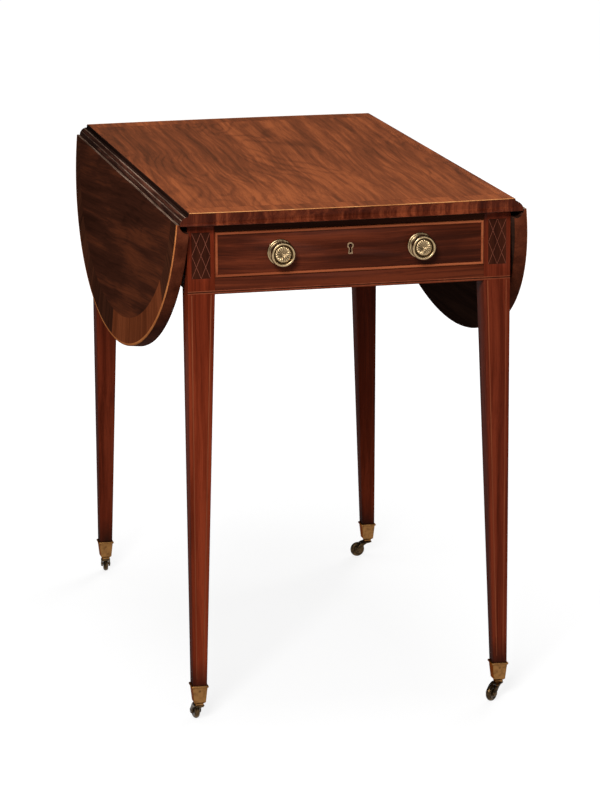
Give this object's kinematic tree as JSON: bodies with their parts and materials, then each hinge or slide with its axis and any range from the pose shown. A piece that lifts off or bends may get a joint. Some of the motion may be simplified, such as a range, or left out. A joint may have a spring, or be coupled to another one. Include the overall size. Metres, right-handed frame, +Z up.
{
  "type": "pembroke table",
  "caption": "Small mahogany drop-leaf table with half-oval leaves on rule joints, an end drawer with brass knobs, and square tapered legs on brass cup casters.",
  "frame": {"origin": "on the floor under the middle of the table", "axes": "+X across the bed to the right as seen from the drawer end, +Y along the leaf joints away from the drawer, +Z up"},
  "size_m": [0.52, 0.812, 0.711],
  "materials": {
    "mahogany": "polished dark red mahogany",
    "figured_mahogany": "polished flame-figured mahogany veneer",
    "bead_mahogany": "polished lighter mahogany",
    "oak": "dry unpolished oak",
    "boxwood": "polished boxwood line",
    "ebony": "polished dark-stained veneer",
    "iron": "dark worn iron",
    "brass": "old lacquered brass"
  },
  "bodies": {
    "table": {"leg_front_left": "mahogany", "leg_front_right": "mahogany", "leg_back_left": "mahogany", "leg_back_right": "mahogany", "side_rail_left": "oak", "side_rail_right": "oak", "hinge_rail_left": "oak", "hinge_rail_right": "oak", "fly_bracket_left": "oak", "fly_bracket_right": "oak", "top_rail_front": "mahogany", "bottom_rail_front": "mahogany", "back_rail": "mahogany", "drawer_runners": "oak", "light_stringing": "boxwood", "dark_inlay": "ebony", "bed_top": "figured_mahogany", "bed_hinge_plates": "iron", "dummy_drawer_front": "mahogany", "dummy_bead": "bead_mahogany", "dummy_knobs": "brass", "caster_cups": "brass"},
    "drawer": {"drawer_front": "mahogany", "drawer_bead": "bead_mahogany", "drawer_side_left": "oak", "drawer_side_right": "oak", "drawer_back": "oak", "drawer_bottom": "oak", "drawer_knobs": "brass", "escutcheon": "brass", "lock_case": "brass"},
    "bolt": {"lock_bolt": "brass"},
    "left_leaf": {"leaf_left": "figured_mahogany", "leaf_hinge_plates_left": "iron"},
    "right_leaf": {"leaf_right": "figured_mahogany", "leaf_hinge_plates_right": "iron"},
    "caster_front_left": {"caster_horn_front_left": "brass"},
    "wheel_front_left": {"caster_wheel_front_left": "brass"},
    "caster_front_right": {"caster_horn_front_right": "brass"},
    "wheel_front_right": {"caster_wheel_front_right": "brass"},
    "caster_back_left": {"caster_horn_back_left": "brass"},
    "wheel_back_left": {"caster_wheel_back_left": "brass"},
    "caster_back_right": {"caster_horn_back_right": "brass"},
    "wheel_back_right": {"caster_wheel_back_right": "brass"}
  },
  "joints": [
    {"name": "left_leaf_fold", "type": "hinge", "parent": "table", "child": "left_leaf", "pos_m": [-0.224, 0, 0.6952], "axis": [0, 1, 0], "range_deg": [0, 85]},
    {"name": "right_leaf_fold", "type": "hinge", "parent": "table", "child": "right_leaf", "pos_m": [0.224, 0, 0.6952], "axis": [0, -1, 0], "range_deg": [0, 85]},
    {"name": "drawer_slide", "type": "slide", "parent": "table", "child": "drawer", "axis": [0, -1, 0], "range_m": [0, 0.3]},
    {"name": "lock_bolt_throw", "type": "slide", "parent": "drawer", "child": "bolt", "axis": [0, 0, 1], "range_m": [0, 0.0065]},
    {"name": "swivel_front_left", "type": "hinge", "parent": "table", "child": "caster_front_left", "pos_m": [-0.21269, -0.37225, 0.025], "axis": [0, 0, 1], "continuous": true},
    {"name": "roll_front_left", "type": "hinge", "parent": "caster_front_left", "child": "wheel_front_left", "pos_m": [-0.21441, -0.35584, 0.0115], "axis": [-0.9945, -0.1045, 0], "continuous": true},
    {"name": "swivel_front_right", "type": "hinge", "parent": "table", "child": "caster_front_right", "pos_m": [0.21269, -0.37225, 0.025], "axis": [0, 0, 1], "continuous": true},
    {"name": "roll_front_right", "type": "hinge", "parent": "caster_front_right", "child": "wheel_front_right", "pos_m": [0.20042, -0.38329, 0.0115], "axis": [0.6691, -0.7431, 0], "continuous": true},
    {"name": "swivel_back_left", "type": "hinge", "parent": "table", "child": "caster_back_left", "pos_m": [-0.21269, 0.37225, 0.025], "axis": [0, 0, 1], "continuous": true},
    {"name": "roll_back_left", "type": "hinge", "parent": "caster_back_left", "child": "wheel_back_left", "pos_m": [-0.20982, 0.3885, 0.0115], "axis": [-0.9848, 0.1736, 0], "continuous": true},
    {"name": "swivel_back_right", "type": "hinge", "parent": "table", "child": "caster_back_right", "pos_m": [0.21269, 0.37225, 0.025], "axis": [0, 0, 1], "continuous": true},
    {"name": "roll_back_right", "type": "hinge", "parent": "caster_back_right", "child": "wheel_back_right", "pos_m": [0.19628, 0.37052, 0.0115], "axis": [0.1045, -0.9945, 0], "continuous": true}
  ]
}
